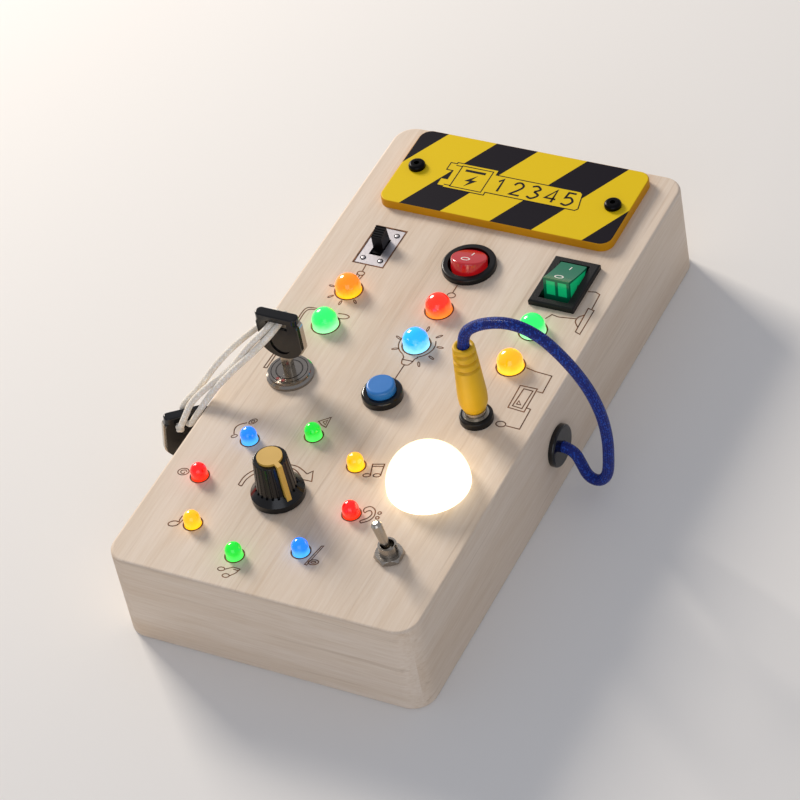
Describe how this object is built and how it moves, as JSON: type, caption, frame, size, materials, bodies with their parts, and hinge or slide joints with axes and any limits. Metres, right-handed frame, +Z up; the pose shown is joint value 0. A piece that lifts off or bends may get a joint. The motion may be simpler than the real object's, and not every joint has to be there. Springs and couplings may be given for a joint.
{
  "type": "wooden busy board",
  "caption": "Small wooden busy board for toddlers with toggle, slide and rocker switches, a key lock with two keys on a lanyard, plug and socket on a cord, knob, push button and coloured lamps",
  "frame": {"origin": "centre of the board's underside, which stands on the table", "axes": "+X is the side with the cord's grommet, +Y is the end with the striped sign plate, +Z is up"},
  "size_m": [0.1346, 0.2, 0.0747],
  "materials": {
    "wood": "clear satin oil on pale close-grained wood",
    "abs_black": "moulded black",
    "gloss_black": "polished black",
    "zinc_screw": "zinc plated",
    "nickel": "nickel plated",
    "cell_steel": "bare steel can with a plain sleeve",
    "sign_yellow": "yellow with dark slanted stripes",
    "slider_black": "moulded black",
    "clear_red": "translucent red",
    "clear_green": "translucent green",
    "blue_plastic": "moulded blue",
    "cap_yellow": "moulded yellow",
    "cord_navy": "braided sleeve, navy with light flecks",
    "cotton": "soft braided cotton",
    "dome_white": "milky, lit from inside",
    "board_green": "solder mask",
    "spacer_white": "nylon",
    "lamp_green": "tinted lamp",
    "lamp_red": "tinted lamp",
    "lamp_blue": "tinted lamp",
    "lamp_yellow": "tinted lamp",
    "lamp_amber": "tinted lamp"
  },
  "bodies": {
    "case": {"base_cover": "wood", "battery_cells": "cell_steel", "battery_contacts": "zinc_screw", "battery_door": "abs_black", "battery_holder": "abs_black", "board_screws": "zinc_screw", "board_spacers": "spacer_white", "button_spring": "zinc_screw", "controller_board": "board_green", "cord_grommet": "gloss_black", "cover_screws": "zinc_screw", "dome_lens": "dome_white", "dome_light_board": "board_green", "encoder_body": "abs_black", "jack_ring": "abs_black", "jack_socket": "nickel", "key_lock_barrel": "nickel", "key_lock_nut": "nickel", "lamp_leads": "zinc_screw", "large_lamps_amber": "lamp_amber", "large_lamps_blue": "lamp_blue", "large_lamps_green": "lamp_green", "large_lamps_red": "lamp_red", "large_lamps_yellow": "lamp_yellow", "plug_cord": "cord_navy", "push_button_housing": "abs_black", "push_button_nut": "abs_black", "rect_rocker_housing": "abs_black", "ring_light_board": "board_green", "round_rocker_housing": "abs_black", "sign_plate": "sign_yellow", "sign_screws": "gloss_black", "slide_switch_body": "abs_black", "slide_switch_plate": "nickel", "small_lamps_blue": "lamp_blue", "small_lamps_green": "lamp_green", "small_lamps_red": "lamp_red", "small_lamps_yellow": "lamp_yellow", "switch_terminals": "zinc_screw", "toggle_body": "abs_black", "toggle_bushing": "nickel", "toggle_nut": "nickel", "wood_body": "wood"},
    "slider": {"slide_switch_slider": "slider_black"},
    "red_rocker": {"red_rocker": "clear_red"},
    "green_rocker": {"green_rocker": "clear_green"},
    "button": {"blue_button": "blue_plastic"},
    "knob": {"knob": "abs_black", "knob_cap": "cap_yellow", "encoder_shaft": "nickel"},
    "toggle": {"toggle_lever": "nickel"},
    "plug": {"plug_shell": "cap_yellow", "plug_collar": "nickel", "plug_tip": "nickel"},
    "lanyard": {"lanyard": "cotton"},
    "key": {"key_blade": "nickel", "key_bow_cover": "gloss_black"},
    "lock": {"lock_plug": "nickel"},
    "spare_key": {"spare_key_blade": "nickel", "spare_key_bow_cover": "gloss_black"}
  },
  "joints": [
    {"name": "slider_slide", "type": "slide", "parent": "case", "child": "slider", "axis": [0, 1, 0], "range_m": [-0.0024, 0]},
    {"name": "red_rocker_tilt", "type": "hinge", "parent": "case", "child": "red_rocker", "pos_m": [0.0007, 0.0438, 0.0335], "axis": [1, 0, 0], "range_deg": [0, 40]},
    {"name": "green_rocker_tilt", "type": "hinge", "parent": "case", "child": "green_rocker", "pos_m": [0.0329, 0.044, 0.0335], "axis": [1, 0, 0], "range_deg": [0, 40]},
    {"name": "button_press", "type": "slide", "parent": "case", "child": "button", "axis": [0, 0, -1], "range_m": [0, 0.002], "stiffness_N_per_m": 300, "springref_m": -0.002, "deforming": ["button_spring"]},
    {"name": "knob_turn", "type": "hinge", "parent": "case", "child": "knob", "pos_m": [-0.0113, -0.0619, 0.0375], "axis": [0, 0, 1], "continuous": true},
    {"name": "toggle_throw", "type": "hinge", "parent": "case", "child": "toggle", "pos_m": [0.0307, -0.0737, 0.0349], "axis": [0, 1, 0], "range_deg": [0, 25]},
    {"name": "plug_pull", "type": "slide", "parent": "case", "child": "plug", "axis": [0, 0, 1], "range_m": [0, 0.018], "deforming": ["plug_cord"]},
    {"name": "key_pull", "type": "slide", "parent": "case", "child": "lanyard", "axis": [0, 0, 1], "range_m": [0, 0.012]},
    {"name": "key_turn", "type": "hinge", "parent": "lanyard", "child": "key", "pos_m": [-0.0313, -0.0158, 0.0325], "axis": [0, 0, 1], "range_deg": [0, 90], "deforming": ["lanyard"]},
    {"name": "lock_stay", "type": "slide", "parent": "key", "child": "lock", "axis": [0, 0, -1], "range_m": [0, 0.012]},
    {"name": "spare_swing", "type": "hinge", "parent": "lanyard", "child": "spare_key", "pos_m": [-0.05735, -0.03737, 0.026], "axis": [-0.7193, 0.6947, 0], "range_deg": [0, 45]}
  ],
  "couplings": [
    {"joint": "lock_stay", "follows": "key_pull", "ratio": 1}
  ]
}
